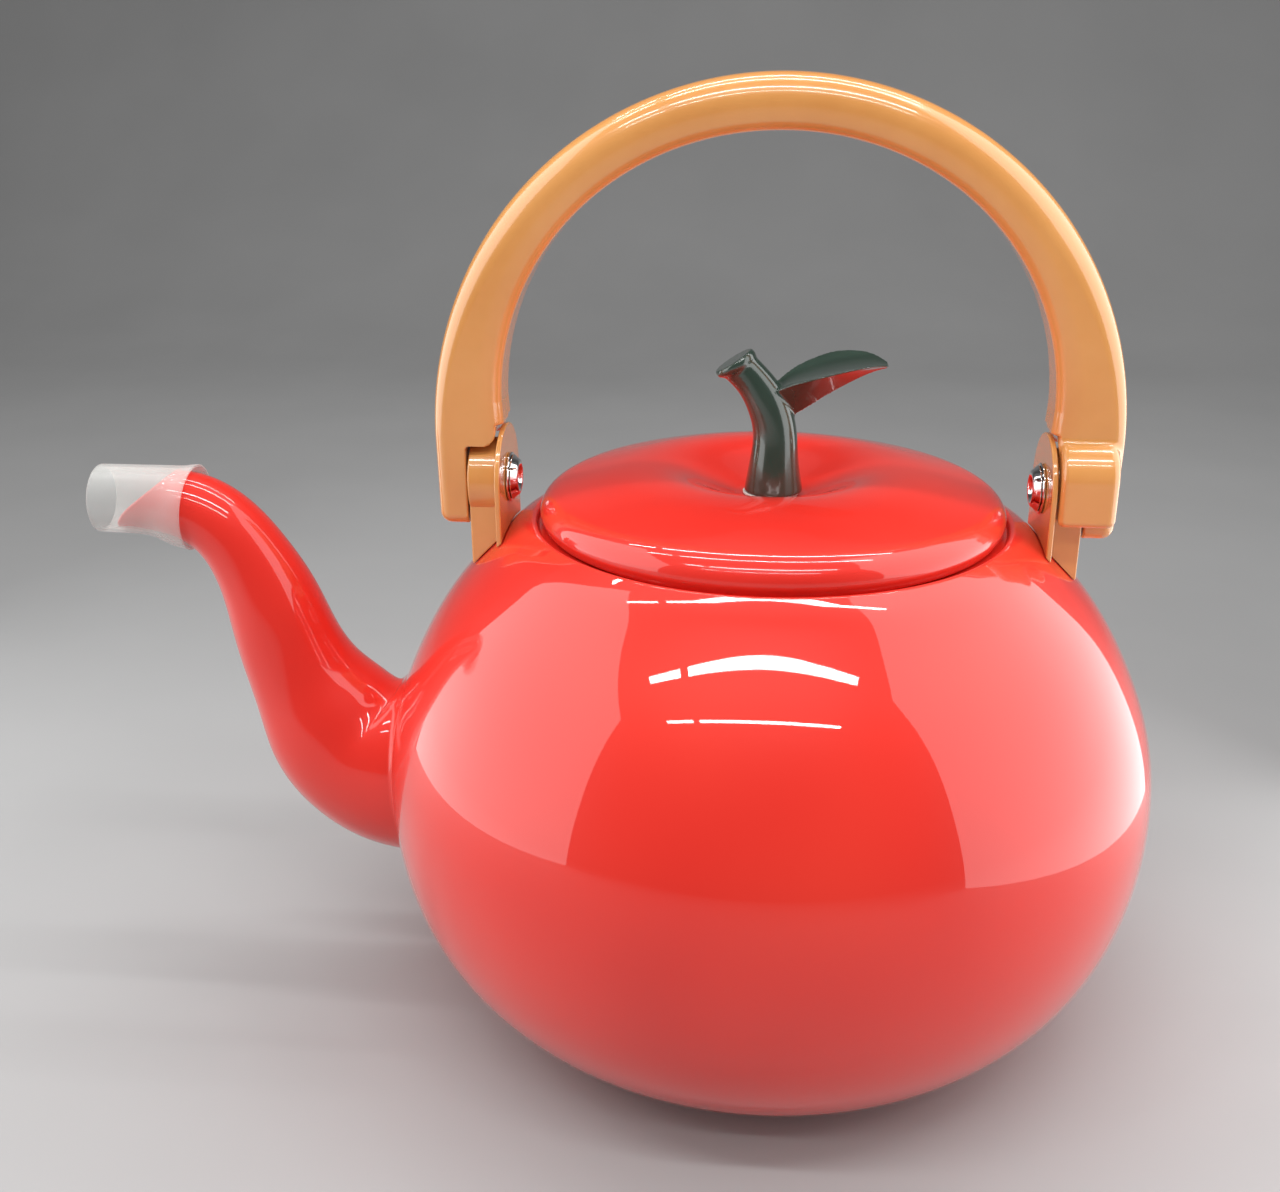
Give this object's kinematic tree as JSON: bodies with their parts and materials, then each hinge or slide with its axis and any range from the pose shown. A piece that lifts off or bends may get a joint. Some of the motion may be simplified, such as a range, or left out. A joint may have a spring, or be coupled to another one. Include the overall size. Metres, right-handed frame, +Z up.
{
  "type": "stovetop kettle",
  "caption": "Round enamelled stovetop kettle shaped like an apple, with a folding bail handle, a lift-off lid with a stem and leaf knob, and a gooseneck spout in a clear tip sleeve.",
  "frame": {"origin": "on the body's vertical axis, in the plane of the flat base", "axes": "+Z up, -X towards the spout, the handle folds back towards +Y"},
  "size_m": [0.2705, 0.1948, 0.237],
  "materials": {
    "red_enamel": "glossy vitreous enamel",
    "resin": "polished heat-proof resin, butterscotch",
    "dark_green": "glossy",
    "chrome": "polished",
    "steel": "satin",
    "brass": "machined",
    "silicone": "matt",
    "clear_sleeve": "milky translucent"
  },
  "bodies": {
    "kettle": {"body_shell": "red_enamel", "spout": "red_enamel", "left_lug": "steel", "right_lug": "steel", "left_lug_cover": "resin", "right_lug_cover": "resin", "left_pivot_bush": "steel", "right_pivot_bush": "steel"},
    "handle": {"handle": "resin", "left_pivot_screw": "chrome", "right_pivot_screw": "chrome", "left_pivot_washer": "chrome", "right_pivot_washer": "chrome", "left_handle_insert": "brass", "right_handle_insert": "brass"},
    "lid": {"lid_shell": "red_enamel", "lid_skirt": "red_enamel", "lid_knob": "dark_green", "knob_gasket": "silicone", "knob_washer": "steel", "knob_screw": "steel"},
    "sleeve": {"spout_sleeve": "clear_sleeve"}
  },
  "joints": [
    {"name": "handle_fold", "type": "hinge", "parent": "kettle", "child": "handle", "pos_m": [0, 0, 0.1419], "axis": [-1, 0, 0], "range_deg": [0, 90]},
    {"name": "lid_lift", "type": "slide", "parent": "kettle", "child": "lid", "axis": [0, 0, 1], "range_m": [0, 0.042]},
    {"name": "sleeve_slide", "type": "slide", "parent": "kettle", "child": "sleeve", "axis": [-1, 0, 0], "range_m": [0, 0.04]}
  ]
}
